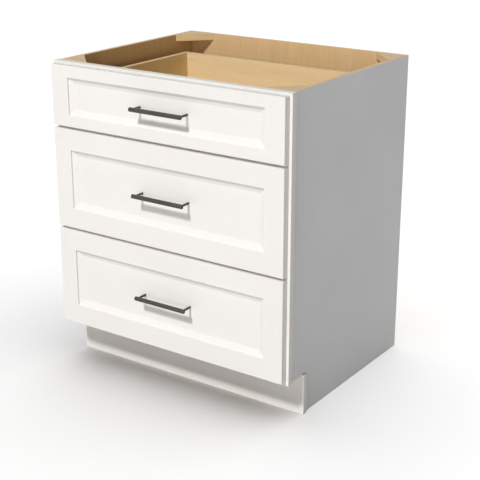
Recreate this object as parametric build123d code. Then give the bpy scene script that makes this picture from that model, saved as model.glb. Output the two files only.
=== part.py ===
from build123d import *
import os

# A base cabinet with three drawers: a plywood case behind a painted face frame.
# X runs to the right, Y to the back and Z up. The origin is on the floor, under the
# middle of the whole cabinet with its pulls. All sizes are in millimetres.

# Face frame
frame_width = 762.0
frame_thickness = 19.05
stile_width = 38.1
rail_height = 38.1
frame_overhang = 6.35           # of the face frame past each side panel
dowel_radius = 4.0
frame_dowel_length = 30.0
dowel_spacing = 16.0            # between the two dowels in a rail's end

# Case
case_depth = 609.6              # front of the face frame to the back of the case
side_thickness = 12.7
back_thickness = 12.7
floor_thickness = 12.7
dado_depth = 6.35               # of the dados and rabbets in the side panels
toe_height = 114.3
toe_recess = 76.2
toe_board_thickness = 15.9
brace_leg = 82.5
brace_thickness = 19.05
brace_hole_radius = 2.5         # for the screws that hold a countertop
brace_hole_offset = 24.0        # from the two sides of the corner
brace_dowel_offset = 50.0       # from the other side of the corner
brace_dowel_length = 28.0
brace_dowel_bite = 8.0          # of the dowel in the case
spacer_height = 64.0

# Drawer fronts
upper_front_height = 166.7
middle_front_height = 281.0
lower_front_height = 281.0
front_thickness = 19.05
front_gap = 8.0
side_reveal = 7.95
top_reveal = 6.35
bottom_reveal = 10.95
front_stile_width = 57.15
upper_front_rail = 31.75
deep_front_rail = 57.15
step_depth = 5.0                # of the square step round the centre panel
slope_depth = 6.0
slope_width = 17.5
bumper_thickness = 1.5
bumper_radius = 5.0
bumper_offset = 16.0            # from a front's upper and lower edge

# Pulls
pull_length = 165.0
pull_radius = 6.0
pull_post_spacing = 152.4
pull_post_radius = 3.2
pull_standoff = 35.0            # of the bar's axis from the centre panel
pull_end_round = 1.0

# Drawer boxes
box_board_thickness = 15.875
box_bottom_thickness = 6.35
box_side_gap = 5.0              # box to the edge of the frame's opening
box_lift = 12.0                 # box above the rail below it
upper_head_room = 12.7          # opening above the box
deep_head_room = 36.0
rear_room = 65.0                # box to the case's back panel
groove_depth = 6.35
groove_play = 0.5
bottom_inset = 13.0             # underside of the box's bottom above its lower edge
dovetail_pitch = 30.0
dovetail_pin_width = 10.0
dovetail_slope = 0.125

# Slides
slide_sheet = 1.5
slide_flange_rise = 35.0        # above the box's lower edge
slide_drop = 5.0                # below the box's lower edge
slide_channel_width = 24.0
slide_clearance = 2.0           # channel to the boards of the box
slide_running_gap = 0.3
slide_wall_gap = 2.0            # between the walls of the two channels
slide_rear_reach = 24.0         # of the cabinet member past the box
slide_step_front = 4.0          # of the intermediate member behind the others' front ends
slide_step_rear = 56.0

# Screws
screw_radius = 2.0
screw_head_radius = 4.0
screw_head_height = 2.0
screw_play = 0.1                # round a shank or a dowel
tip_play = 0.5                  # past a screw's or a dowel's end
slide_screw_length = 16.0
slide_screw_rise = 24.0         # above the box's lower edge
slide_screw_inset = 30.0        # from the ends of the cabinet member
front_screw_offset = 260.0      # from the middle of the cabinet
front_screw_low = 35.0          # above the box's lower edge
front_screw_high = 20.0         # below the box's upper edge
front_skin = 2.0                # wood left in front of a screw's tip
pull_screw_bite = 10.0

# Places across the cabinet, on its right half
frame_x = frame_width / 2
opening_x = frame_x - stile_width
side_outer_x = frame_x - frame_overhang
side_inner_x = side_outer_x - side_thickness
dado_x = side_inner_x + dado_depth
front_x = frame_x - side_reveal
box_outer_x = opening_x - box_side_gap
box_inner_x = box_outer_x - box_board_thickness
channel_outer_x = box_inner_x - slide_clearance
channel_inner_x = channel_outer_x - slide_channel_width

# Places from front to back
panel_recess = step_depth + slope_depth
pull_reach = pull_standoff + pull_radius - panel_recess
overall_depth = case_depth + bumper_thickness + front_thickness + pull_reach
case_back_y = overall_depth / 2
frame_y = case_back_y - case_depth
frame_back_y = frame_y + frame_thickness
back_panel_y = case_back_y - back_thickness
toe_y = frame_y + toe_recess
toe_back_y = toe_y + toe_board_thickness
front_back_y = frame_y - bumper_thickness
front_face_y = front_back_y - front_thickness
panel_y = front_face_y + panel_recess
box_front_y = front_back_y
box_front_inner_y = box_front_y + box_board_thickness
box_back_y = back_panel_y - rear_room
box_back_inner_y = box_back_y - box_board_thickness
slide_front_y = box_front_inner_y + slide_clearance
slide_rear_y = box_back_y + slide_rear_reach

# Heights of the fronts, the rails and the openings between the rails
lower_front = (toe_height + bottom_reveal, toe_height + bottom_reveal + lower_front_height)
middle_front = (lower_front[1] + front_gap, lower_front[1] + front_gap + middle_front_height)
upper_front = (middle_front[1] + front_gap, middle_front[1] + front_gap + upper_front_height)
top_z = upper_front[1] + top_reveal


def rail_between(low_front, high_front):
    """Height range of the rail whose middle lies on the gap between two fronts."""
    middle = (low_front[1] + high_front[0]) / 2
    return (middle - rail_height / 2, middle + rail_height / 2)


rails = {
    "rail_bottom": (toe_height, toe_height + rail_height),
    "rail_lower_mid": rail_between(lower_front, middle_front),
    "rail_upper_mid": rail_between(middle_front, upper_front),
    "rail_top": (top_z - rail_height, top_z),
}
floor_top_z = rails["rail_bottom"][1]
floor_z = floor_top_z - floor_thickness


class Drawer:
    """Heights of one drawer: its front, its frame and the box behind it."""

    def __init__(self, name, front, front_rail, rail_below, rail_above, head_room):
        self.name = name
        self.front = front
        self.front_rail = front_rail
        self.ledge = rails[rail_below][1]
        self.box_low = self.ledge + box_lift
        self.box_high = rails[rail_above][0] - head_room
        self.bottom_low = self.box_low + bottom_inset
        self.bottom_high = self.bottom_low + box_bottom_thickness
        self.pull_z = (front[0] + front[1]) / 2


drawers = [
    Drawer("upper", upper_front, upper_front_rail, "rail_upper_mid", "rail_top", upper_head_room),
    Drawer("middle", middle_front, deep_front_rail, "rail_lower_mid", "rail_upper_mid",
           deep_head_room),
    Drawer("lower", lower_front, deep_front_rail, "rail_bottom", "rail_lower_mid", deep_head_room),
]


def block(x, y, z):
    """A rectangular solid between three pairs of coordinates."""
    solid = Box(x[1] - x[0], y[1] - y[0], z[1] - z[0], align=(Align.MIN, Align.MIN, Align.MIN))
    return Pos(x[0], y[0], z[0]) * solid


def rod(centre, direction, radius, length):
    """A round bar that starts at a point and runs in a direction."""
    solid = Cylinder(radius, length, align=(Align.CENTER, Align.CENTER, Align.MIN))
    return Plane(origin=centre, z_dir=direction) * solid


def screw(seat, direction, length):
    """A pan head screw: the head's underside on the seat, the shank in a direction."""
    outward = tuple(-part for part in direction)
    head = rod(seat, outward, screw_head_radius, screw_head_height)
    return head + rod(seat, direction, screw_radius, length)


def screw_hole(seat, direction, length):
    """The hole for a screw's shank, a little wider and deeper than the shank."""
    return rod(seat, direction, screw_radius + screw_play, length + tip_play)


def dowel(middle, direction, length):
    """A dowel with its middle at a point, along a direction."""
    start = tuple(place - part * length / 2 for place, part in zip(middle, direction))
    return rod(start, direction, dowel_radius, length)


def dowel_hole(middle, direction, length):
    """The hole for a dowel, a little wider and deeper at both ends than the dowel."""
    depth = length + 2 * tip_play
    start = tuple(place - part * depth / 2 for place, part in zip(middle, direction))
    return rod(start, direction, dowel_radius + screw_play, depth)


def other_side(solid):
    """The same piece on the cabinet's left half."""
    return mirror(solid, about=Plane.YZ)


def both_sides(solids):
    """Pieces of the right half, with their likes on the left."""
    return list(solids) + [other_side(solid) for solid in solids]


def save(node, solids):
    """Write one node, made of one solid or of several alike."""
    shape = Compound(solids) if isinstance(solids, list) else solids
    export_step(shape, os.path.join("parts", node + ".step"))


# Face frame


def frame_dowel_places():
    """Middle, direction and length of each dowel where the rails meet the right stile."""
    y = frame_y + frame_thickness / 2
    return [((opening_x, y, (low + high) / 2 + offset), (1, 0, 0), frame_dowel_length)
            for low, high in rails.values()
            for offset in (-dowel_spacing / 2, dowel_spacing / 2)]


def make_stile():
    """The right stile, bored for the rails' dowels."""
    stile = block((opening_x, frame_x), (frame_y, frame_back_y), (toe_height, top_z))
    for place in frame_dowel_places():
        stile -= dowel_hole(*place)
    return stile


def make_rail(low, high):
    """One rail between the stiles, bored at both ends."""
    rail = block((-opening_x, opening_x), (frame_y, frame_back_y), (low, high))
    for middle, direction, length in frame_dowel_places():
        if low < middle[2] < high:
            hole = dowel_hole(middle, direction, length)
            rail -= hole
            rail -= other_side(hole)
    return without_brace_holes(rail)


# Case


class Brace:
    """One triangular corner brace on the right half, at the front or at the back."""

    def __init__(self, corner_y, inward):
        self.corner_y = corner_y
        self.inward = inward
        self.middle_z = top_z - brace_thickness / 2

    def place(self, from_side, from_end):
        """A point at given distances from the side panel and from the frame or back."""
        return (side_inner_x - from_side, self.corner_y + self.inward * from_end, self.middle_z)

    def dowel_places(self):
        """Middle, direction and length of the dowels into the side and into the end."""
        depth = brace_dowel_length / 2 - brace_dowel_bite
        to_side = self.place(depth, brace_dowel_offset)
        to_end = self.place(brace_dowel_offset, depth)
        return [(to_side, (1, 0, 0), brace_dowel_length),
                (to_end, (0, -self.inward, 0), brace_dowel_length)]

    def solid(self):
        """The triangle with its countertop hole and the holes for its two dowels."""
        corners = [self.place(0, 0), self.place(brace_leg, 0), self.place(0, brace_leg)]
        outline = Polygon(*[(x, y) for x, y, z in corners], align=None)
        low = Plane.XY.offset(top_z - brace_thickness)
        brace = extrude(low * outline, amount=brace_thickness, dir=(0, 0, 1))
        hole_x, hole_y, _ = self.place(brace_hole_offset, brace_hole_offset)
        brace -= rod((hole_x, hole_y, top_z - brace_thickness), (0, 0, 1),
                     brace_hole_radius, brace_thickness)
        for place in self.dowel_places():
            brace -= dowel_hole(*place)
        return brace


braces = {"front": Brace(frame_back_y, 1), "back": Brace(back_panel_y, -1)}


def without_brace_holes(piece):
    """A case piece with the holes for the dowels of the braces that reach into it."""
    for brace in braces.values():
        for place in brace.dowel_places():
            hole = dowel_hole(*place)
            piece -= hole
            piece -= other_side(hole)
    return piece


def make_side_panel():
    """The right side panel, with its toe notch, the floor's dado and the back's rabbet."""
    panel = block((side_inner_x, side_outer_x), (frame_back_y, case_back_y), (0, top_z))
    panel -= block((side_inner_x, side_outer_x), (frame_back_y, toe_back_y), (0, toe_height))
    panel -= block((side_inner_x, dado_x), (frame_back_y, back_panel_y), (floor_z, floor_top_z))
    panel -= block((side_inner_x, dado_x), (back_panel_y, case_back_y), (0, top_z))
    return without_brace_holes(panel)


def make_back_panel():
    """The back panel, in the rabbets of the side panels, from the floor to the top."""
    panel = block((-dado_x, dado_x), (back_panel_y, case_back_y), (0, top_z))
    return without_brace_holes(panel)


def make_bottom_panel():
    """The floor of the case, level with the top of the bottom rail."""
    return block((-dado_x, dado_x), (frame_back_y, back_panel_y), (floor_z, floor_top_z))


def make_toe_board():
    """The toe board, as long as the face frame and fixed on the side panels' edges."""
    return block((-frame_x, frame_x), (toe_y, toe_back_y), (0, toe_height))


def make_spacer(drawer):
    """The block that brings a slide out to the edge of the frame's opening."""
    spacer = block((opening_x, side_inner_x), (frame_back_y, back_panel_y),
                   (drawer.ledge, drawer.ledge + spacer_height))
    for seat, direction in slide_screw_places(drawer):
        spacer -= screw_hole(seat, direction, slide_screw_length)
    return spacer


# Slides


def slide_screw_places(drawer):
    """Seat and direction of the three screws of the right cabinet member."""
    ends = (slide_front_y + slide_screw_inset, slide_rear_y - slide_screw_inset)
    depths = (ends[0], (ends[0] + ends[1]) / 2, ends[1])
    x = opening_x - slide_sheet
    return [((x, y, drawer.box_low + slide_screw_rise), (1, 0, 0)) for y in depths]


def slide_heights(drawer):
    """Heights of a slide: the web's underside, the walls' middle and the top."""
    low = drawer.box_low - slide_drop
    high = drawer.bottom_low
    return low, (low + high) / 2, high


def make_slide_outer(drawer):
    """The cabinet member: a flange on the spacer, a web under the box, a channel."""
    low, middle, _ = slide_heights(drawer)
    y = (slide_front_y, slide_rear_y)
    wall_top = middle - slide_wall_gap / 2
    flange_top = drawer.box_low + slide_flange_rise
    member = block((opening_x - slide_sheet, opening_x), y, (low, flange_top))
    member += block((channel_inner_x, opening_x), y, (low, low + slide_sheet))
    member += block((channel_inner_x, channel_inner_x + slide_sheet), y, (low, wall_top))
    member += block((channel_outer_x - slide_sheet, channel_outer_x), y, (low, wall_top))
    for seat, direction in slide_screw_places(drawer):
        member -= screw_hole(seat, direction, slide_sheet)
    return member


def make_slide_intermediate(drawer):
    """The tube that runs between the two channels and moves half as far."""
    low, _, high = slide_heights(drawer)
    edge = slide_sheet + slide_running_gap
    x = (channel_inner_x + edge, channel_outer_x - edge)
    y = (slide_front_y + slide_step_front, slide_rear_y - slide_step_rear)
    z = (low + edge, high - edge)
    bore = [(pair[0] + slide_sheet, pair[1] - slide_sheet) for pair in (x, z)]
    return block(x, y, z) - block(bore[0], y, bore[1])


def make_slide_inner(drawer):
    """The drawer member: a channel, open below, under the box's bottom."""
    _, middle, high = slide_heights(drawer)
    y = (slide_front_y, box_back_y)
    wall_low = middle + slide_wall_gap / 2
    member = block((channel_inner_x, channel_outer_x), y, (high - slide_sheet, high))
    member += block((channel_inner_x, channel_inner_x + slide_sheet), y, (wall_low, high))
    member += block((channel_outer_x - slide_sheet, channel_outer_x), y, (wall_low, high))
    return member


# Drawers


def make_front(drawer):
    """A drawer front with its centre panel behind a square step and a mitred slope."""
    low, high = drawer.front
    front = block((-front_x, front_x), (front_face_y, front_back_y), (low, high))
    width = 2 * (front_x - front_stile_width)
    height = high - low - 2 * drawer.front_rail
    step_y = front_face_y + step_depth
    front -= block((-width / 2, width / 2), (front_face_y, step_y),
                   (drawer.pull_z - height / 2, drawer.pull_z + height / 2))
    mouth = Plane(origin=(0, step_y, drawer.pull_z), x_dir=(1, 0, 0), z_dir=(0, 1, 0))
    floor = Plane(origin=(0, panel_y, drawer.pull_z), x_dir=(1, 0, 0), z_dir=(0, 1, 0))
    outer = mouth * Rectangle(width, height)
    inner = floor * Rectangle(width - 2 * slope_width, height - 2 * slope_width)
    front -= loft([outer.face(), inner.face()])
    for seat, direction, length in front_screw_places(drawer) + pull_screw_places(drawer):
        front -= screw_hole(seat, direction, length)
    return front


def front_screw_places(drawer):
    """Seat, direction and length of the screws that hold the front on the box."""
    length = box_front_inner_y - panel_y - front_skin
    return [((x, box_front_inner_y, z), (0, -1, 0), length)
            for x in (-front_screw_offset, front_screw_offset)
            for z in (drawer.box_low + front_screw_low, drawer.box_high - front_screw_high)]


def pull_screw_places(drawer):
    """Seat, direction and length of the pull's two screws, from inside the box."""
    length = box_front_inner_y - panel_y + pull_screw_bite
    return [((x, box_front_inner_y, drawer.pull_z), (0, -1, 0), length)
            for x in (-pull_post_spacing / 2, pull_post_spacing / 2)]


def make_pull(drawer):
    """A round bar on two posts, tapped from behind."""
    bar_y = panel_y - pull_standoff
    start = (-pull_length / 2, bar_y, drawer.pull_z)
    bar = rod(start, (1, 0, 0), pull_radius, pull_length)
    pull = fillet(bar.edges().filter_by(GeomType.CIRCLE), pull_end_round)
    for x in (-pull_post_spacing / 2, pull_post_spacing / 2):
        pull += rod((x, panel_y, drawer.pull_z), (0, -1, 0), pull_post_radius, pull_standoff)
    for seat, direction, length in pull_screw_places(drawer):
        pull -= screw_hole(seat, direction, length)
    return pull


def make_bumpers(drawer):
    """Soft discs behind the front's corners, where it meets the stiles."""
    x = (opening_x + front_x) / 2
    heights = (drawer.front[0] + bumper_offset, drawer.front[1] - bumper_offset)
    discs = [rod((x, front_back_y, z), (0, 1, 0), bumper_radius, bumper_thickness)
             for z in heights]
    return both_sides(discs)


def dovetail_pins(drawer, low, end_y, base_y):
    """Pins of the box's front or back board in the right side board, above a height."""
    height = drawer.box_high - low
    count = max(1, round(height / dovetail_pitch))
    base = dovetail_pin_width / 2
    end = base - abs(end_y - base_y) * dovetail_slope
    pins = []
    for number in range(count + 1):
        middle = low + height * number / count
        corners = [(base_y, max(middle - base, low)),
                   (base_y, min(middle + base, drawer.box_high)),
                   (end_y, min(middle + end, drawer.box_high)),
                   (end_y, max(middle - end, low))]
        outline = Plane.YZ.offset(box_inner_x) * Polygon(*corners, align=None)
        pins.append(extrude(outline, amount=box_board_thickness, dir=(1, 0, 0)))
    return pins


def bottom_room(drawer):
    """The space that the grooves leave for the edges of the box's bottom."""
    return block((-box_inner_x - groove_depth, box_inner_x + groove_depth),
                 (box_front_inner_y - groove_depth, box_back_inner_y + groove_depth),
                 (drawer.bottom_low, drawer.bottom_high))


def make_box_bottom(drawer):
    """The thin bottom, in the grooves of the four boards."""
    reach = groove_depth - groove_play
    return block((-box_inner_x - reach, box_inner_x + reach),
                 (box_front_inner_y - reach, box_back_inner_y + reach),
                 (drawer.bottom_low, drawer.bottom_high))


def front_pins(drawer):
    """Pins of the front board, over its whole height."""
    return dovetail_pins(drawer, drawer.box_low, box_front_y, box_front_inner_y)


def back_pins(drawer):
    """Pins of the back board, above the notch for the slide."""
    return dovetail_pins(drawer, drawer.bottom_low, box_back_y, box_back_inner_y)


def make_box_end(drawer, y, pins):
    """The box's front or back board, with its dovetail pins at both ends."""
    board = block((-box_inner_x, box_inner_x), y, (drawer.box_low, drawer.box_high))
    for pin in both_sides(pins):
        board += pin
    return board - bottom_room(drawer)


def make_box_front(drawer):
    """The box's front board, bored for the screws of the front and of the pull."""
    board = make_box_end(drawer, (box_front_y, box_front_inner_y), front_pins(drawer))
    for seat, direction, length in front_screw_places(drawer) + pull_screw_places(drawer):
        board -= screw_hole(seat, direction, length)
    return board


def make_box_back(drawer):
    """The box's back board, notched over the slides."""
    board = make_box_end(drawer, (box_back_inner_y, box_back_y), back_pins(drawer))
    notch = block((channel_inner_x - slide_clearance, box_inner_x),
                  (box_back_inner_y, box_back_y), (drawer.box_low, drawer.bottom_low))
    return board - notch - other_side(notch)


def make_box_side(drawer):
    """The right side board, with sockets for the pins of both end boards."""
    board = block((box_inner_x, box_outer_x), (box_front_y, box_back_y),
                  (drawer.box_low, drawer.box_high))
    for pin in front_pins(drawer) + back_pins(drawer):
        board -= pin
    return board - bottom_room(drawer)


# Writing the nodes


def save_case():
    """The face frame, the case and what is fixed in them."""
    stile = make_stile()
    save("stile_right", stile)
    save("stile_left", other_side(stile))
    for name, (low, high) in rails.items():
        save(name, make_rail(low, high))
    save("frame_dowels", both_sides([dowel(*place) for place in frame_dowel_places()]))
    side_panel = make_side_panel()
    save("side_panel_right", side_panel)
    save("side_panel_left", other_side(side_panel))
    save("back_panel", make_back_panel())
    save("bottom_panel", make_bottom_panel())
    save("toe_board", make_toe_board())
    brace_dowels = []
    for end, brace in braces.items():
        save("corner_brace_" + end + "_right", brace.solid())
        save("corner_brace_" + end + "_left", other_side(brace.solid()))
        brace_dowels += [dowel(*place) for place in brace.dowel_places()]
    save("brace_dowels", both_sides(brace_dowels))


def save_slides():
    """The spacers, the slides' three members and the screws of the cabinet members."""
    spacers = [make_spacer(drawer) for drawer in drawers]
    save("slide_spacers_right", spacers)
    save("slide_spacers_left", [other_side(spacer) for spacer in spacers])
    screws = []
    for drawer in drawers:
        save("slide_outer_" + drawer.name, both_sides([make_slide_outer(drawer)]))
        save("slide_intermediate_" + drawer.name,
             both_sides([make_slide_intermediate(drawer)]))
        save("slide_inner_" + drawer.name, both_sides([make_slide_inner(drawer)]))
        screws += [screw(*place, slide_screw_length) for place in slide_screw_places(drawer)]
    save("slide_screws", both_sides(screws))


def save_drawer(drawer):
    """One drawer: its front, its pull and the boards of its box."""
    side = make_box_side(drawer)
    save("drawer_front_" + drawer.name, make_front(drawer))
    save("box_front_" + drawer.name, make_box_front(drawer))
    save("box_back_" + drawer.name, make_box_back(drawer))
    save("box_side_right_" + drawer.name, side)
    save("box_side_left_" + drawer.name, other_side(side))
    save("box_bottom_" + drawer.name, make_box_bottom(drawer))
    save("pull_" + drawer.name, make_pull(drawer))
    save("pull_screws_" + drawer.name, [screw(*place) for place in pull_screw_places(drawer)])
    save("front_screws_" + drawer.name, [screw(*place) for place in front_screw_places(drawer)])
    save("bumpers_" + drawer.name, make_bumpers(drawer))


os.makedirs("parts", exist_ok=True)
save_case()
save_slides()
for one_drawer in drawers:
    save_drawer(one_drawer)
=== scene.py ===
import math
import random

import bmesh
import bpy
from mathutils import Matrix, Vector


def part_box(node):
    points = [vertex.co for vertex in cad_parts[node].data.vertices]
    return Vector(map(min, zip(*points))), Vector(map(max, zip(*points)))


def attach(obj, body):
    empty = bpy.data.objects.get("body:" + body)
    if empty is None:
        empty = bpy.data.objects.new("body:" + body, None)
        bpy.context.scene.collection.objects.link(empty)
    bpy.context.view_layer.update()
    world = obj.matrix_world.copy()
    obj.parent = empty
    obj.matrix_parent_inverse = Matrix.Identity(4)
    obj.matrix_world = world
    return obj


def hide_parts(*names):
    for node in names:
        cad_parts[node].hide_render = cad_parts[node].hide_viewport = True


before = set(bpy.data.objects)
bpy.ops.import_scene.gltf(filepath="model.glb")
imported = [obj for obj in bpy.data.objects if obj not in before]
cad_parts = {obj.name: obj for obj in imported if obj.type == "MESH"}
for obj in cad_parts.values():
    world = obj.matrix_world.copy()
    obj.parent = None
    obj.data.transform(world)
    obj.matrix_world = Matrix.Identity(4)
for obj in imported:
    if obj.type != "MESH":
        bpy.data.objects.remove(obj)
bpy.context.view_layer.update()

# The looks of a base cabinet with three drawers: painted fronts, frame and ends, maple
# veneer inside, solid maple drawer boxes, zinc slides and dark bar pulls. Lengths are in
# metres, and angles in degrees unless the line says otherwise.

# Eased edges
frame_ease = 0.0005
front_ease = 0.0014
profile_ease = 0.0004
board_ease = 0.0003
steel_ease = 0.0002
front_ease_segments = 3
plain_ease_segments = 2
shortest_eased = 0.0025         # shorter edges are the chords of round holes
least_eased_turn = 30.0         # between the faces of an edge that is eased
least_crisp_turn = 35.0         # between the faces of a turned part's crisp edge

# Meshes
flat_turn = 1.0                 # triangles that turn less than this make one flat face
merge_reach = 0.00001           # corners of a node closer than this are one
pole_merge_reach = 0.000001     # and those of a turned part
facing = 0.7                    # least share of a normal along the axis its face looks to
touch = 0.0001                  # how close a corner lies to the side it belongs to

# Camera
camera_azimuth = 34.67          # degrees to the right of straight in front
camera_elevation = 19.42
camera_distance = 3.2640
camera_aim_x = 0.01960
camera_aim_z = 0.35215
image_size = 480
focal_pixels = 1137.2
sensor_width = 36.0             # millimetres

# Light
key_azimuth = 0.5               # degrees to the right of straight in front
key_elevation = 47.9
key_strength = 2.34
key_softness = 6.0              # degrees across
fill_azimuth = 16.0
fill_elevation = 0.0
fill_strength = 1.08
fill_softness = 30.0
floor_lamp_azimuth = 158.0
floor_lamp_elevation = 75.0
floor_lamp_strength = 3.3
floor_lamp_softness = 110.0
lamp_distance = 4.0             # m, of each sun lamp, which shines the same from anywhere
room_light = 0.04
floor_grey = 0.65
floor_reach = 40.0
floor_mottle_scale = 3.0
floor_mottle_low = 0.985

# Pulls
pull_end_ease = 0.0008
pull_end_segments = 3
pull_post_radius = 0.0032
pull_bar_facets = 48
pull_post_facets = 32

# Screws
screw_head_radius = 0.004
screw_head_height = 0.002
screw_rim_height = 0.0009
screw_shoulder_radius = 0.00328
screw_shoulder_height = 0.0017
screw_crown_radius = 0.002
screw_shank_radius = 0.002
screw_tip_radius = 0.0005
screw_tip_length = 0.004
screw_facets = 20
screw_turn_seed = 7
recess_reach = 0.0023
recess_width = 0.001
recess_depth = 0.0013

# Noise counts from none to full between these two of its values
middle_noise = (0.3, 0.7)
upper_noise = (0.35, 0.7)
high_noise = (0.4, 0.7)
noise_peaks = (0.6, 0.75)

# Roughness of the wood, from its smoothest to its roughest
grain_roughness = (0.42, 0.55)
ply_roughness = (0.5, 0.65)
sawn_roughness = (0.6, 0.7)

X, Y, Z = 0, 1, 2
surface_outputs = [("Colour", "Color"), ("Roughness", "Float"), ("Height", "Float")]
grain_turns = {"x": (0, 0, 0), "y": (0, 0, -math.pi / 2), "z": (0, math.pi / 2, 0)}
case_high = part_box("back_panel")[1]
frame_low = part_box("stile_right")[0]
case_middle = Vector((0, (frame_low.y + case_high.y) / 2, case_high.z / 2))
drawer_names = ("upper", "middle", "lower")


# ---------------------------------------------------------------- shader helpers


def add_node(tree, kind, inputs=None, **settings):
    """A node with its settings, and with each input set to a value or joined to a socket."""
    made = tree.nodes.new(kind)
    for name, value in settings.items():
        setattr(made, name, value)
    for name, value in (inputs or {}).items():
        socket = made.inputs[name]
        if isinstance(value, bpy.types.NodeSocket):
            tree.links.new(value, socket)
        else:
            socket.default_value = value
    return made


def calculate(tree, operation, first, second=0.5, clamp=False):
    """One step of arithmetic on two numbers or sockets."""
    made = add_node(tree, "ShaderNodeMath", {0: first, 1: second}, operation=operation)
    made.use_clamp = clamp
    return made.outputs[0]


def spread(tree, value, low, high, new_low=0.0, new_high=1.0):
    """A value's range from low to high, stretched to a new range."""
    made = add_node(tree, "ShaderNodeMapRange", {"Value": value, "From Min": low,
                    "From Max": high, "To Min": new_low, "To Max": new_high})
    return made.outputs["Result"]


def stretched_noise(tree, vector, scale, size=1.0, detail=3.0, roughness=0.5):
    """Noise whose grains are as long as one over the scale in each direction."""
    moved = add_node(tree, "ShaderNodeMapping", {"Vector": vector, "Scale": scale})
    noise = add_node(tree, "ShaderNodeTexNoise", {"Vector": moved.outputs[0], "Scale": size,
                     "Detail": detail, "Roughness": roughness})
    return noise.outputs["Fac"]


def blend_colours(tree, share, first, second):
    """The colour between two colours."""
    mix = tree.nodes.new("ShaderNodeMix")
    mix.data_type = "RGBA"
    for socket, value in ((mix.inputs[0], share), (mix.inputs[6], first), (mix.inputs[7], second)):
        if isinstance(value, bpy.types.NodeSocket):
            tree.links.new(value, socket)
        else:
            socket.default_value = value
    return mix.outputs[2]


def start_group(name, inputs, outputs):
    """An empty shader group with named inputs and outputs."""
    tree = bpy.data.node_groups.new(name, "ShaderNodeTree")
    for title, kind, value in inputs:
        socket = tree.interface.new_socket(title, in_out="INPUT", socket_type="NodeSocket" + kind)
        if value is not None:
            socket.default_value = value
    for title, kind in outputs:
        tree.interface.new_socket(title, in_out="OUTPUT", socket_type="NodeSocket" + kind)
    entry = tree.nodes.new("NodeGroupInput")
    leave = tree.nodes.new("NodeGroupOutput")
    return tree, entry.outputs, leave.inputs


def make_paint_film():
    """Sprayed paint: a fine orange peel, slow waves, and a slightly uneven sheen."""
    tree, given, result = start_group(
        "paint film",
        [("Coordinates", "Vector", None), ("Paint", "Color", (0.9, 0.9, 0.9, 1)),
         ("Thin Paint", "Color", (0.85, 0.85, 0.85, 1)), ("Sheen", "Float", 0.4),
         ("Peel Scale", "Float", 700.0)],
        surface_outputs)
    cloud_scale, wave_scale = 5.0, 22.0
    cloud_range = (0.35, 0.65)
    wave_height = 2.0
    sheen_change = 0.04
    where = given["Coordinates"]
    cloud = stretched_noise(tree, where, (1, 1, 1), size=cloud_scale, detail=2.0)
    peel = add_node(tree, "ShaderNodeTexNoise", {"Vector": where, "Scale": given["Peel Scale"],
                    "Detail": 2.0, "Roughness": 0.5}).outputs["Fac"]
    share = spread(tree, cloud, *cloud_range)
    colour = blend_colours(tree, share, given["Paint"], given["Thin Paint"])
    tree.links.new(colour, result["Colour"])
    change = spread(tree, cloud, *middle_noise, -sheen_change, sheen_change)
    gloss = calculate(tree, "MULTIPLY_ADD", change, 1.0)
    tree.links.new(given["Sheen"], gloss.node.inputs[2])
    tree.links.new(gloss, result["Roughness"])
    waves = stretched_noise(tree, where, (1, 1, 1), size=wave_scale, detail=1.0)
    height = calculate(tree, "ADD", peel, calculate(tree, "MULTIPLY", waves, wave_height))
    tree.links.new(height, result["Height"])
    return tree


def make_maple_grain():
    """Maple with its grain along X: broad bands, fine fibres and short dark flecks."""
    tree, given, result = start_group(
        "maple grain",
        [("Coordinates", "Vector", None), ("Pale", "Color", (0.8, 0.6, 0.4, 1)),
         ("Dark", "Color", (0.6, 0.4, 0.2, 1)), ("Bands", "Float", 0.5),
         ("Fibres", "Float", 0.3), ("Flecks", "Float", 0.25)],
        surface_outputs)
    drift_scale, band_scale = (1.2, 5, 5), (1.4, 38, 38)
    fibre_scale, fleck_scale = (9, 420, 420), (70, 900, 900)
    wander_reach = 0.03
    fleck_depth = 0.6
    where = given["Coordinates"]
    drift = stretched_noise(tree, where, drift_scale, detail=2.0)
    wander = add_node(tree, "ShaderNodeVectorMath",
                      {0: (0.0, wander_reach, wander_reach), "Scale": drift},
                      operation="SCALE")
    along = add_node(tree, "ShaderNodeVectorMath", {0: where, 1: wander.outputs[0]},
                     operation="ADD").outputs[0]
    bands = spread(tree, stretched_noise(tree, along, band_scale), *middle_noise)
    fibres = spread(tree, stretched_noise(tree, along, fibre_scale), *upper_noise)
    flecks = spread(tree, stretched_noise(tree, along, fleck_scale, detail=1.0), *noise_peaks)
    share = calculate(tree, "MULTIPLY", bands, given["Bands"])
    share = calculate(tree, "ADD", share, calculate(tree, "MULTIPLY", fibres, given["Fibres"]))
    share = calculate(tree, "ADD", share, calculate(tree, "MULTIPLY", flecks, given["Flecks"]),
                      clamp=True)
    colour = blend_colours(tree, share, given["Pale"], given["Dark"])
    tree.links.new(colour, result["Colour"])
    tree.links.new(spread(tree, fibres, 0, 1, *grain_roughness), result["Roughness"])
    hollows = calculate(tree, "ADD", fibres, calculate(tree, "MULTIPLY", flecks, fleck_depth))
    tree.links.new(calculate(tree, "SUBTRACT", 1.0, hollows), result["Height"])
    return tree


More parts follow.
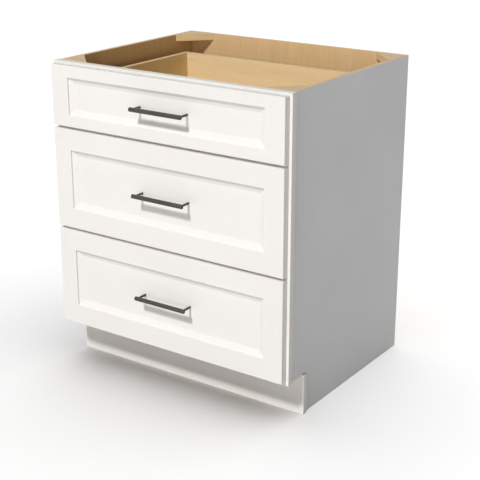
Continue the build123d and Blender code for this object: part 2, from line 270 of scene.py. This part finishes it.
def make_ply_edge():
    """A plywood edge with its plies stacked along X: alternate face and end grain."""
    tree, given, result = start_group(
        "ply edge",
        [("Coordinates", "Vector", None), ("Pale", "Color", (0.8, 0.6, 0.4, 1)),
         ("Dark", "Color", (0.6, 0.4, 0.2, 1)), ("Ply Thickness", "Float", 0.0018)],
        surface_outputs)
    wobble_scale, pore_scale = (30, 30, 30), (500, 500, 500)
    wobble_reach = 0.0005
    stripe_share, pore_share = 0.45, 0.35
    where = given["Coordinates"]
    wobble = stretched_noise(tree, where, wobble_scale, detail=1.0)
    through = add_node(tree, "ShaderNodeSeparateXYZ", {0: where}).outputs[0]
    pushed = calculate(tree, "MULTIPLY_ADD", wobble, wobble_reach)
    tree.links.new(through, pushed.node.inputs[2])
    turns = calculate(tree, "DIVIDE", calculate(tree, "MULTIPLY", pushed, math.pi),
                      given["Ply Thickness"])
    stripe = spread(tree, calculate(tree, "SINE", turns), -0.5, 0.5)
    pores = spread(tree, stretched_noise(tree, where, pore_scale, detail=2.0), *upper_noise)
    share = calculate(tree, "MULTIPLY_ADD", stripe, stripe_share)
    tree.links.new(calculate(tree, "MULTIPLY", pores, pore_share), share.node.inputs[2])
    tree.links.new(blend_colours(tree, share, given["Pale"], given["Dark"]), result["Colour"])
    tree.links.new(spread(tree, stripe, 0, 1, *ply_roughness), result["Roughness"])
    tree.links.new(calculate(tree, "SUBTRACT", stripe, pores), result["Height"])
    return tree


def make_end_grain():
    """The sawn end of a solid board: small pores in faint rings."""
    tree, given, result = start_group(
        "end grain",
        [("Coordinates", "Vector", None), ("Pale", "Color", (0.8, 0.6, 0.4, 1)),
         ("Dark", "Color", (0.6, 0.4, 0.2, 1))],
        surface_outputs)
    pore_scale, ring_scale = 1100.0, (40, 40, 160)
    pore_share, ring_share = 0.5, 0.5
    where = given["Coordinates"]
    pores = spread(tree, stretched_noise(tree, where, (1, 1, 1), size=pore_scale, detail=2.0),
                   *high_noise)
    rings = spread(tree, stretched_noise(tree, where, ring_scale, detail=2.0), *middle_noise)
    share = calculate(tree, "MULTIPLY_ADD", pores, pore_share)
    tree.links.new(calculate(tree, "MULTIPLY", rings, ring_share), share.node.inputs[2])
    tree.links.new(blend_colours(tree, share, given["Pale"], given["Dark"]), result["Colour"])
    tree.links.new(spread(tree, pores, 0, 1, *sawn_roughness), result["Roughness"])
    tree.links.new(calculate(tree, "SUBTRACT", 1.0, pores), result["Height"])
    return tree


def make_metal_finish():
    """A metal finish: fine marks in one direction and a slow change of tone."""
    tree, given, result = start_group(
        "metal finish",
        [("Coordinates", "Vector", None), ("Metal", "Color", (0.5, 0.5, 0.5, 1)),
         ("Worn Metal", "Color", (0.6, 0.6, 0.6, 1)), ("Mark Scale", "Vector", (60, 900, 900)),
         ("Cloud Scale", "Float", 40.0), ("Polish", "Float", 0.35)],
        surface_outputs)
    smoother, rougher = -0.06, 0.08
    where = given["Coordinates"]
    scaled = add_node(tree, "ShaderNodeVectorMath", {0: where, 1: given["Mark Scale"]},
                      operation="MULTIPLY").outputs[0]
    marks = add_node(tree, "ShaderNodeTexNoise", {"Vector": scaled, "Scale": 1.0,
                     "Detail": 2.0}).outputs["Fac"]
    cloud = add_node(tree, "ShaderNodeTexNoise", {"Vector": where, "Scale": given["Cloud Scale"],
                     "Detail": 3.0}).outputs["Fac"]
    share = calculate(tree, "MULTIPLY", spread(tree, cloud, *high_noise),
                      spread(tree, marks, *middle_noise))
    tree.links.new(blend_colours(tree, share, given["Metal"], given["Worn Metal"]),
                   result["Colour"])
    change = spread(tree, marks, *middle_noise, smoother, rougher)
    rough = calculate(tree, "MULTIPLY_ADD", change, 1.0)
    tree.links.new(given["Polish"], rough.node.inputs[2])
    tree.links.new(rough, result["Roughness"])
    tree.links.new(marks, result["Height"])
    return tree


paint_film = make_paint_film()
maple_grain = make_maple_grain()
ply_edge = make_ply_edge()
end_grain = make_end_grain()
metal_finish = make_metal_finish()


def rgb(red, green, blue):
    """A colour given as a screen shows it, from 0 to 255, made linear by the sRGB curve."""
    def linear(value):
        value /= 255
        return value / 12.92 if value <= 0.04045 else ((value + 0.055) / 1.055) ** 2.4
    return (linear(red), linear(green), linear(blue), 1)


def make_material(name, group, values, along="x", bump=0.1, depth=0.0001, metallic=0.0,
                  specular=0.5):
    """A material whose colour, roughness and relief come from one surface group.

    The pattern runs along one axis of the cabinet. Each piece shifts it by its own
    attribute, so that two boards of one material don't show the same grain."""
    material = bpy.data.materials.new(name)
    material.use_nodes = True
    tree = material.node_tree
    tree.nodes.clear()
    place = add_node(tree, "ShaderNodeTexCoord").outputs["Object"]
    shift = add_node(tree, "ShaderNodeAttribute", attribute_name="board_shift")
    moved = add_node(tree, "ShaderNodeVectorMath", {0: place, 1: shift.outputs["Vector"]},
                     operation="ADD")
    turned = add_node(tree, "ShaderNodeMapping", {"Vector": moved.outputs[0],
                      "Rotation": grain_turns[along]})
    surface = tree.nodes.new("ShaderNodeGroup")
    surface.node_tree = group
    tree.links.new(turned.outputs[0], surface.inputs["Coordinates"])
    for title, value in values.items():
        surface.inputs[title].default_value = value
    relief = add_node(tree, "ShaderNodeBump", {"Height": surface.outputs["Height"],
                      "Strength": bump, "Distance": depth})
    shader = add_node(tree, "ShaderNodeBsdfPrincipled", {
        "Base Color": surface.outputs["Colour"], "Roughness": surface.outputs["Roughness"],
        "Normal": relief.outputs[0], "Metallic": metallic, "Specular IOR Level": specular})
    add_node(tree, "ShaderNodeOutputMaterial", {"Surface": shader.outputs[0]})
    return material


def make_wood(name, along, pale, dark, bands=0.5, fibres=0.35, flecks=0.3):
    """Clear coated maple with its grain along one axis of the cabinet."""
    values = {"Pale": pale, "Dark": dark, "Bands": bands, "Fibres": fibres, "Flecks": flecks}
    return make_material(name, maple_grain, values, along, bump=0.25, depth=0.00008,
                         specular=0.4)


veneer_pale = rgb(227, 196, 149)
veneer_dark = rgb(211, 177, 128)
box_pale = rgb(238, 216, 174)
box_dark = rgb(221, 194, 149)
edge_pale = rgb(243, 217, 172)
edge_dark = rgb(214, 172, 118)

white_paint = make_material(
    "white_paint", paint_film,
    {"Paint": rgb(243, 240, 235), "Thin Paint": rgb(241, 237, 232), "Sheen": 0.42,
     "Peel Scale": 620.0}, bump=0.10, depth=0.00006, specular=0.35)
case_paint = make_material(
    "case_paint", paint_film,
    {"Paint": rgb(241, 240, 240), "Thin Paint": rgb(238, 237, 236), "Sheen": 0.5,
     "Peel Scale": 900.0}, bump=0.08, depth=0.00005, specular=0.3)
veneer = {axis: make_wood("maple_veneer_" + axis, axis, veneer_pale, veneer_dark)
          for axis in "xyz"}
box_wood = {axis: make_wood("box_maple_" + axis, axis, box_pale, box_dark, bands=0.35,
                            fibres=0.4, flecks=0.45)
            for axis in "xyz"}
ply = {axis: make_material("ply_edge_" + axis, ply_edge,
                           {"Pale": edge_pale, "Dark": edge_dark}, axis,
                           bump=0.2, depth=0.0001, specular=0.3)
       for axis in "xyz"}
board_end = make_material("board_end", end_grain,
                          {"Pale": rgb(226, 190, 140), "Dark": rgb(188, 146, 98)},
                          bump=0.2, depth=0.0001, specular=0.2)
pull_metal = make_material(
    "pull_metal", metal_finish,
    {"Metal": rgb(68, 66, 62), "Worn Metal": rgb(84, 81, 77), "Mark Scale": (40, 1200, 1200),
     "Polish": 0.35}, bump=0.05, depth=0.00003, metallic=0.5, specular=0.5)
zinc = make_material(
    "zinc", metal_finish,
    {"Metal": rgb(205, 208, 212), "Worn Metal": rgb(178, 182, 188),
     "Mark Scale": (300, 60, 300), "Cloud Scale": 90.0, "Polish": 0.34},
    bump=0.08, depth=0.00003, metallic=1.0)
screw_steel = make_material(
    "screw_steel", metal_finish,
    {"Metal": rgb(214, 208, 190), "Worn Metal": rgb(186, 178, 158),
     "Mark Scale": (900, 900, 900), "Cloud Scale": 300.0, "Polish": 0.3},
    bump=0.05, depth=0.00002, metallic=1.0)
bumper_plastic = make_material(
    "bumper_plastic", paint_film,
    {"Paint": rgb(228, 228, 224), "Thin Paint": rgb(214, 214, 210), "Sheen": 0.3,
     "Peel Scale": 1500.0}, bump=0.05, depth=0.00003)


# ---------------------------------------------------------------- pieces


def set_shift(mesh, shift):
    """Store how far this piece's pattern is moved."""
    attribute = mesh.attributes.new("board_shift", "FLOAT_VECTOR", "POINT")
    attribute.data.foreach_set("vector", list(shift) * len(mesh.vertices))


def new_piece(name, mesh, body, node, shift=(0, 0, 0)):
    """A finished piece that stands for its node and moves with the node's body."""
    set_shift(mesh, shift)
    piece = bpy.data.objects.new(name, mesh)
    bpy.context.scene.collection.objects.link(piece)
    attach(piece, body)
    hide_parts(node)


def whole_mesh(node):
    """The node's mesh with its triangles joined into whole flat faces."""
    mesh = bmesh.new()
    mesh.from_mesh(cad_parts[node].data)
    bmesh.ops.remove_doubles(mesh, verts=mesh.verts, dist=merge_reach)
    bmesh.ops.dissolve_limit(mesh, angle_limit=math.radians(flat_turn), verts=mesh.verts,
                             edges=mesh.edges)
    return mesh


def ease_edges(mesh, width, chosen, segments=plain_ease_segments):
    """Round over the chosen edges of a mesh by a small width."""
    least_turn = math.radians(least_eased_turn)
    edges = [edge for edge in mesh.edges
             if len(edge.link_faces) == 2 and edge.calc_face_angle() > least_turn
             and chosen(edge)]
    bmesh.ops.bevel(mesh, geom=edges, offset=width, offset_type="OFFSET", segments=segments,
                    profile=0.5, affect="EDGES", clamp_overlap=True)


def long_edge(edge):
    """True for the edges of a board, and false for the short chords of a hole."""
    return edge.calc_length() > shortest_eased


def finish_mesh(mesh, name, materials, choose):
    """A Blender mesh with a material chosen for each face by its normal and middle."""
    made = bpy.data.meshes.new(name)
    for face in mesh.faces:
        face.normal_update()
        face.material_index = choose(face.normal, face.calc_center_median())
        face.smooth = False
    mesh.to_mesh(made)
    mesh.free()
    for material in materials:
        made.materials.append(material)
    return made


def one_material(normal, middle):
    """Every face takes the first material."""
    return 0


def across(axis):
    """Chooses material 0 for the faces square to an axis and 1 for the edges."""
    return lambda normal, middle: 0 if abs(normal[axis]) > facing else 1


def make_board(node, body, materials, choose, width=board_ease):
    """A piece with its node's form, eased edges and materials for its faces."""
    mesh = whole_mesh(node)
    ease_edges(mesh, width, long_edge)
    chance = random.Random(node)
    shift = [chance.uniform(-1, 1) for axis in range(3)]
    new_piece(node + "_eased", finish_mesh(mesh, node, materials, choose), body, node,
              shift)


def make_case():
    """The face frame, the panels, the braces, the spacers and the toe board."""
    def painted_front(normal, middle):
        return 1 if normal.y > facing else 0

    def panel_faces(normal, middle):
        if abs(normal.x) < facing:
            return 2
        return 0 if normal.x * middle.x > 0 else 1

    for node in ("stile_left", "stile_right"):
        make_board(node, "case", [white_paint, box_wood["z"]], painted_front,
                   frame_ease)
    for node in ("rail_top", "rail_upper_mid", "rail_lower_mid", "rail_bottom"):
        make_board(node, "case", [white_paint, box_wood["x"]], painted_front)
    make_board("toe_board", "case", [white_paint, veneer["x"]], painted_front,
               frame_ease)
    for side in ("left", "right"):
        make_board("side_panel_" + side, "case",
                   [case_paint, veneer["z"], ply["x"]], panel_faces)
        make_board("slide_spacers_" + side, "case", [veneer["y"], ply["x"]],
                   across(X))
        for end in ("front", "back"):
            make_board("corner_brace_%s_%s" % (end, side), "case",
                       [veneer["x"], ply["z"]], across(Z))
    make_board("back_panel", "case", [veneer["z"], ply["y"]], across(Y))
    make_board("bottom_panel", "case", [veneer["x"], ply["z"]], across(Z))
    dress_node("frame_dowels", box_wood["x"])
    dress_node("brace_dowels", box_wood["x"])


def dress_node(node, material):
    """Give a node that shows as it is a better material."""
    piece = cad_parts[node]
    for place in piece.material_slots:
        place.link = "OBJECT"
        place.material = material


def make_front(name):
    """A drawer front: soft outer edges and a crisp step round its centre panel."""
    node = "drawer_front_" + name
    low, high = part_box(node)

    def outer_edge(edge):
        def on_side(corner):
            return (min(corner.x - low.x, high.x - corner.x) < touch
                    or min(corner.z - low.z, high.z - corner.z) < touch)
        return all(on_side(corner.co) for corner in edge.verts)

    mesh = whole_mesh(node)
    ease_edges(mesh, profile_ease, lambda edge: long_edge(edge) and not outer_edge(edge))
    ease_edges(mesh, front_ease, outer_edge, front_ease_segments)
    made = finish_mesh(mesh, node, [white_paint], one_material)
    new_piece(node + "_eased", made, "drawer_" + name, node)


def make_box(name):
    """The boards of a drawer's box: face grain along each board and sawn ends."""
    body = "drawer_" + name

    def board_faces(axis):
        return lambda normal, middle: 1 if abs(normal[axis]) > facing else 0

    for part, along, axis in (("box_front", "x", X), ("box_back", "x", X),
                              ("box_side_left", "y", Y), ("box_side_right", "y", Y)):
        make_board(part + "_" + name, body, [box_wood[along], board_end],
                   board_faces(axis))
    make_board("box_bottom_" + name, body, [veneer["x"], ply["z"]], across(Z))


def make_slides(name):
    """The three members of a drawer's pair of slides."""
    for member, body in (("slide_outer_", "case"), ("slide_intermediate_", "slides_" + name),
                         ("slide_inner_", "drawer_" + name)):
        make_board(member + name, body, [zinc], one_material, steel_ease)


# ---------------------------------------------------------------- turned parts


def turned(outline, facets):
    """A closed form turned about the Z axis from an outline of radius and height."""
    mesh = bmesh.new()
    corners = [mesh.verts.new((radius, 0, height)) for radius, height in outline]
    lines = [mesh.edges.new(pair) for pair in zip(corners, corners[1:])]
    bmesh.ops.spin(mesh, geom=corners + lines, cent=(0, 0, 0), axis=(0, 0, 1),
                   angle=math.tau, steps=facets, use_merge=True)
    bmesh.ops.remove_doubles(mesh, verts=mesh.verts, dist=pole_merge_reach)
    bmesh.ops.recalc_face_normals(mesh, faces=mesh.faces)
    made = bpy.data.meshes.new("turned")
    mesh.to_mesh(made)
    mesh.free()
    return made


def eased_rod(radius, low, high, ease, segments, facets):
    """A rod along Z with rounded ends."""
    turns = [math.pi / 2 * step / segments for step in range(segments + 1)]
    lower = [(radius - ease * (1 - math.sin(turn)), low + ease * (1 - math.cos(turn)))
             for turn in turns]
    upper = [(reach, low + high - height) for reach, height in reversed(lower)]
    return turned([(0, low)] + lower + upper + [(0, high)], facets)


def combine(mesh, other, operation):
    """The union or the difference of two closed meshes."""
    first = bpy.data.objects.new("first", mesh)
    second = bpy.data.objects.new("second", other)
    for thing in (first, second):
        bpy.context.scene.collection.objects.link(thing)
    cut = first.modifiers.new("cut", "BOOLEAN")
    cut.object = second
    cut.operation = operation
    cut.solver = "EXACT"
    cut.use_self = True
    bpy.context.view_layer.update()
    seen = first.evaluated_get(bpy.context.evaluated_depsgraph_get())
    result = bpy.data.meshes.new_from_object(seen)
    for thing in (first, second):
        bpy.data.objects.remove(thing)
    return result


def shade_round(mesh):
    """Smooth the turned faces and keep the edges between them crisp."""
    for face in mesh.polygons:
        face.use_smooth = True
    mesh.set_sharp_from_angle(angle=math.radians(least_crisp_turn))


def islands(node):
    """Lowest and highest corner of each separate solid in a node."""
    mesh = whole_mesh(node)
    left = set(mesh.verts)
    found = []
    while left:
        solid, waiting = [], [left.pop()]
        while waiting:
            corner = waiting.pop()
            solid.append(corner.co.copy())
            for edge in corner.link_edges:
                other = edge.other_vert(corner)
                if other in left:
                    left.remove(other)
                    waiting.append(other)
        found.append((Vector(map(min, *solid)), Vector(map(max, *solid))))
    mesh.free()
    return sorted(found, key=lambda box: tuple(box[0]))


# ---------------------------------------------------------------- pulls


def make_pull(name):
    """A round bar with eased ends, on two plain round posts."""
    node = "pull_" + name
    low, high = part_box(node)
    radius = (high.z - low.z) / 2
    axis_y = low.y + radius
    middle = (low + high) / 2
    posts = islands("pull_screws_" + name)
    mesh = eased_rod(radius, low.x, high.x, pull_end_ease, pull_end_segments, pull_bar_facets)
    mesh.transform(Matrix.Rotation(math.pi / 2, 4, "Y"))
    mesh.transform(Matrix.Translation((0, axis_y, middle.z)))
    for box_low, box_high in posts:
        post = turned([(0, 0), (pull_post_radius, 0), (pull_post_radius, high.y - axis_y),
                       (0, high.y - axis_y)], pull_post_facets)
        post.transform(Matrix.Rotation(math.pi / 2, 4, "X"))
        post.transform(Matrix.Translation(((box_low.x + box_high.x) / 2, high.y, middle.z)))
        mesh = combine(mesh, post, "UNION")
    shade_round(mesh)
    mesh.materials.clear()
    mesh.materials.append(pull_metal)
    new_piece(node + "_turned", mesh, "drawer_" + name, node)


# ---------------------------------------------------------------- screws


def recessed_screw(length):
    """A pan head screw along -Z under its head, with a cross recess in the head."""
    outline = [(0, -length), (screw_tip_radius, -length),
               (screw_shank_radius, -length + screw_tip_length), (screw_shank_radius, 0),
               (screw_head_radius, 0), (screw_head_radius, screw_rim_height),
               (screw_shoulder_radius, screw_shoulder_height),
               (screw_crown_radius, screw_head_height), (0, screw_head_height)]
    screw = turned(outline, screw_facets)
    for size in ((recess_reach, recess_width / 2), (recess_width / 2, recess_reach)):
        cutter = bmesh.new()
        block = bmesh.ops.create_cube(cutter, size=2.0)
        for corner in block["verts"]:
            corner.co = (corner.co.x * size[0], corner.co.y * size[1],
                         screw_head_height + corner.co.z * recess_depth)
        cutter_mesh = bpy.data.meshes.new("recess")
        cutter.to_mesh(cutter_mesh)
        cutter.free()
        screw = combine(screw, cutter_mesh, "DIFFERENCE")
    shade_round(screw)
    return screw


def make_screw_tree():
    """A Geometry Nodes tree that sets a screw on each point and turns it outwards."""
    tree = bpy.data.node_groups.new("screws", "GeometryNodeTree")
    for title, kind in (("Geometry", "Geometry"), ("Screw", "Object"), ("Steel", "Material"),
                        ("Largest Turn", "Float")):
        tree.interface.new_socket(title, in_out="INPUT", socket_type="NodeSocket" + kind)
    tree.interface.new_socket("Geometry", in_out="OUTPUT", socket_type="NodeSocketGeometry")
    given = tree.nodes.new("NodeGroupInput").outputs
    result = tree.nodes.new("NodeGroupOutput").inputs
    points = add_node(tree, "GeometryNodeMeshToPoints", {"Mesh": given["Geometry"]})
    model = add_node(tree, "GeometryNodeObjectInfo", {"Object": given["Screw"]})
    outward = add_node(tree, "GeometryNodeInputNamedAttribute", data_type="FLOAT_VECTOR",
                       inputs={"Name": "outward"})
    aligned = add_node(tree, "FunctionNodeAlignRotationToVector",
                       {"Vector": outward.outputs["Attribute"]}, axis="Z")
    chance = add_node(tree, "FunctionNodeRandomValue", {"Seed": screw_turn_seed}, data_type="FLOAT")
    tree.links.new(given["Largest Turn"], chance.inputs[3])
    twist = add_node(tree, "ShaderNodeCombineXYZ", {"Z": chance.outputs[1]})
    twisted = add_node(tree, "FunctionNodeRotateRotation",
                       {"Rotation": aligned.outputs["Rotation"]}, rotation_space="LOCAL")
    tree.links.new(twist.outputs[0], twisted.inputs["Rotate By"])
    set_on = add_node(tree, "GeometryNodeInstanceOnPoints", {
        "Points": points.outputs["Points"], "Instance": model.outputs["Geometry"],
        "Rotation": twisted.outputs["Rotation"]})
    real = add_node(tree, "GeometryNodeRealizeInstances", {"Geometry": set_on.outputs[0]})
    dressed = add_node(tree, "GeometryNodeSetMaterial", {"Geometry": real.outputs[0],
                       "Material": given["Steel"]})
    tree.links.new(dressed.outputs[0], result["Geometry"])
    return tree


screw_tree = make_screw_tree()
screw_inputs = {item.name: item.identifier for item in screw_tree.interface.items_tree
                if item.in_out == "INPUT"}


def make_screws(node, body):
    """Screws with a cross recess in place of plain ones, heads towards the middle."""
    seats, outwards, lengths = [], [], []
    for low, high in islands(node):
        axis = max(range(3), key=lambda i: high[i] - low[i])
        toward = 1 if (low + high)[axis] / 2 < case_middle[axis] else -1
        seat = (low + high) / 2
        seat[axis] = (high[axis] if toward > 0 else low[axis]) - toward * screw_head_height
        seats.append(seat)
        outwards += [toward if i == axis else 0 for i in range(3)]
        lengths.append(high[axis] - low[axis] - screw_head_height)
    pattern = bpy.data.objects.new("screw_pattern", recessed_screw(min(lengths)))
    points = bpy.data.meshes.new(node + "_points")
    points.from_pydata(seats, [], [])
    points.attributes.new("outward", "FLOAT_VECTOR", "POINT").data.foreach_set("vector", outwards)
    holder = bpy.data.objects.new(node + "_points", points)
    bpy.context.scene.collection.objects.link(holder)
    placing = holder.modifiers.new("screws", "NODES")
    placing.node_group = screw_tree
    placing[screw_inputs["Screw"]] = pattern
    placing[screw_inputs["Steel"]] = screw_steel
    placing[screw_inputs["Largest Turn"]] = math.pi / 2
    bpy.context.view_layer.update()
    seen = holder.evaluated_get(bpy.context.evaluated_depsgraph_get())
    mesh = bpy.data.meshes.new_from_object(seen)
    for thing in (holder, pattern):
        bpy.data.objects.remove(thing)
    new_piece(node + "_recessed", mesh, body, node)


# ---------------------------------------------------------------- room


def make_floor():
    """A wide pale floor. To the eye and to gloss it is white, to other light it is grey."""
    mesh = bmesh.new()
    bmesh.ops.create_grid(mesh, x_segments=1, y_segments=1, size=floor_reach)
    made = bpy.data.meshes.new("floor")
    mesh.to_mesh(made)
    mesh.free()
    floor = bpy.data.objects.new("floor", made)
    bpy.context.scene.collection.objects.link(floor)
    material = bpy.data.materials.new("studio_floor")
    material.use_nodes = True
    tree = material.node_tree
    tree.nodes.clear()
    seen = seen_directly(tree)
    place = add_node(tree, "ShaderNodeTexCoord").outputs["Object"]
    noise = stretched_noise(tree, place, (1, 1, 1), size=floor_mottle_scale)
    mottle = spread(tree, noise, 0, 1, floor_mottle_low, 1.0)
    pale = add_node(tree, "ShaderNodeCombineColor", {"Red": mottle, "Green": mottle,
                    "Blue": mottle}).outputs[0]
    colour = blend_colours(tree, seen, (floor_grey, floor_grey, floor_grey, 1), pale)
    matte = add_node(tree, "ShaderNodeBsdfDiffuse", {"Color": colour})
    add_node(tree, "ShaderNodeOutputMaterial", {"Surface": matte.outputs[0]})
    made.materials.append(material)
    return floor


def seen_directly(tree):
    """One for the camera's rays and those of gloss and glass, and nought for others."""
    path = add_node(tree, "ShaderNodeLightPath").outputs
    either = calculate(tree, "MAXIMUM", path["Is Camera Ray"], path["Is Glossy Ray"])
    return calculate(tree, "MAXIMUM", either, path["Is Transmission Ray"])


def make_room_light():
    """Even light from all round, behind which the room looks white."""
    world = bpy.data.worlds.new("room")
    bpy.context.scene.world = world
    world.use_nodes = True
    tree = world.node_tree
    tree.nodes.clear()
    strength = spread(tree, seen_directly(tree), 0, 1, room_light, 1.0)
    light = add_node(tree, "ShaderNodeBackground", {"Color": (1, 1, 1, 1),
                     "Strength": strength})
    add_node(tree, "ShaderNodeOutputWorld", {"Surface": light.outputs[0]})


def direction_to(azimuth, elevation):
    """The direction towards a place round the cabinet, from straight in front."""
    turn, rise = math.radians(azimuth), math.radians(elevation)
    return Vector((math.sin(turn) * math.cos(rise), -math.cos(turn) * math.cos(rise),
                   math.sin(rise)))


def make_lamp(name, azimuth, elevation, strength, softness, floor, on_floor):
    """A distant lamp that lights either the floor alone or all but the floor."""
    data = bpy.data.lights.new(name, "SUN")
    data.energy = strength
    data.angle = math.radians(softness)
    lamp = bpy.data.objects.new(name, data)
    towards = direction_to(azimuth, elevation)
    lamp.location = towards * lamp_distance
    lamp.rotation_euler = towards.to_track_quat("Z", "Y").to_euler()
    bpy.context.scene.collection.objects.link(lamp)
    lit = bpy.data.collections.new(name + "_lights")
    lit.objects.link(floor)
    lit.collection_objects[0].light_linking.link_state = "INCLUDE" if on_floor else "EXCLUDE"
    lamp.light_linking.receiver_collection = lit


def make_camera():
    """The photograph's camera."""
    data = bpy.data.cameras.new("camera")
    data.sensor_width = sensor_width
    data.sensor_fit = "HORIZONTAL"
    data.lens = sensor_width * focal_pixels / image_size
    camera = bpy.data.objects.new("camera", data)
    towards = direction_to(camera_azimuth, camera_elevation)
    aim = Vector((camera_aim_x, case_middle.y, camera_aim_z))
    camera.location = aim + towards * camera_distance
    camera.rotation_euler = towards.to_track_quat("Z", "Y").to_euler()
    bpy.context.scene.collection.objects.link(camera)
    bpy.context.scene.camera = camera


make_case()
for drawer_name in drawer_names:
    make_front(drawer_name)
    make_box(drawer_name)
    make_slides(drawer_name)
    make_pull(drawer_name)
    make_screws("pull_screws_" + drawer_name, "drawer_" + drawer_name)
    make_screws("front_screws_" + drawer_name, "drawer_" + drawer_name)
    dress_node("bumpers_" + drawer_name, bumper_plastic)
make_screws("slide_screws", "case")

studio_floor = make_floor()
make_room_light()
make_lamp("key_lamp", key_azimuth, key_elevation, key_strength, key_softness, studio_floor,
          on_floor=False)
make_lamp("fill_lamp", fill_azimuth, fill_elevation, fill_strength, fill_softness, studio_floor,
          on_floor=False)
make_lamp("floor_lamp", floor_lamp_azimuth, floor_lamp_elevation, floor_lamp_strength,
          floor_lamp_softness, studio_floor, on_floor=True)
make_camera()
bpy.context.scene.view_settings.view_transform = "Standard"
